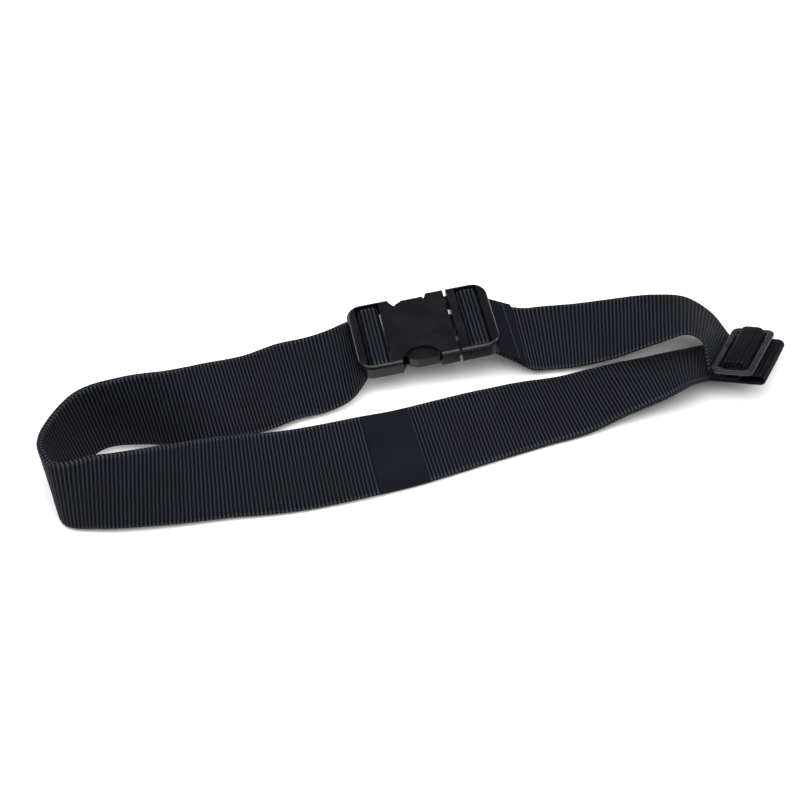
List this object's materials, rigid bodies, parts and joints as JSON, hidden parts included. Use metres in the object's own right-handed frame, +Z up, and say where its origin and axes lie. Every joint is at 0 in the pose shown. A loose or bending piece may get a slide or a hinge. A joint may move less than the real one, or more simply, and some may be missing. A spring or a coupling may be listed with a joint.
{
  "type": "gait_belt",
  "caption": "Black webbing gait belt laid in a loop, with a side-release buckle and a three-bar slide adjuster",
  "frame": {"origin": "on the floor, under the middle of the ground the laid belt covers", "axes": "+X along the loop towards the slide adjuster, +Y across it towards the buckle, +Z up"},
  "size_m": [0.4654, 0.1869, 0.0545],
  "materials": {
    "webbing": "woven, cross-ribbed, slightly lustrous",
    "thread": "lock stitching",
    "buckle_plastic": "moulded, semi-gloss",
    "adjuster_plastic": "moulded, semi-gloss"
  },
  "bodies": {
    "belt": {"strap_outer_layer": "webbing", "strap_inner_layer": "webbing", "strap_buckle_run": "webbing", "strap_adjuster_run": "webbing", "strap_female_loop": "webbing", "female_shell": "buckle_plastic"},
    "male_half": {"male_frame": "buckle_plastic", "strap_male_loop": "webbing", "strap_sewn_tail": "webbing", "male_stitching": "thread"},
    "far_latch": {"far_prong": "buckle_plastic"},
    "near_latch": {"near_prong": "buckle_plastic"},
    "adjuster": {"slide_adjuster": "adjuster_plastic", "strap_adjuster_weave": "webbing", "strap_sewn_loop": "webbing", "strap_right_fold": "webbing"}
  },
  "joints": [
    {"name": "buckle_release", "type": "slide", "parent": "belt", "child": "male_half", "axis": [0.9786, 0.1902, 0.0785], "range_m": [0, 0.04], "deforming": ["strap_buckle_run", "far_prong", "near_prong"]},
    {"name": "far_latch_press", "type": "hinge", "parent": "male_half", "child": "far_latch", "pos_m": [0.01543, 0.07852, 0.02486], "axis": [-0.077, -0.015, 0.9969], "range_deg": [0, 8], "stiffness_Nm_per_rad": 0.05},
    {"name": "near_latch_press", "type": "hinge", "parent": "male_half", "child": "near_latch", "pos_m": [0.02325, 0.03827, 0.02486], "axis": [0.077, 0.015, -0.9969], "range_deg": [0, 8], "stiffness_Nm_per_rad": 0.05},
    {"name": "adjuster_slide", "type": "slide", "parent": "belt", "child": "adjuster", "axis": [-0.9118, 0.3319, -0.2419], "range_m": [0, 0.015], "deforming": ["strap_adjuster_run", "strap_outer_layer", "strap_inner_layer"]}
  ]
}
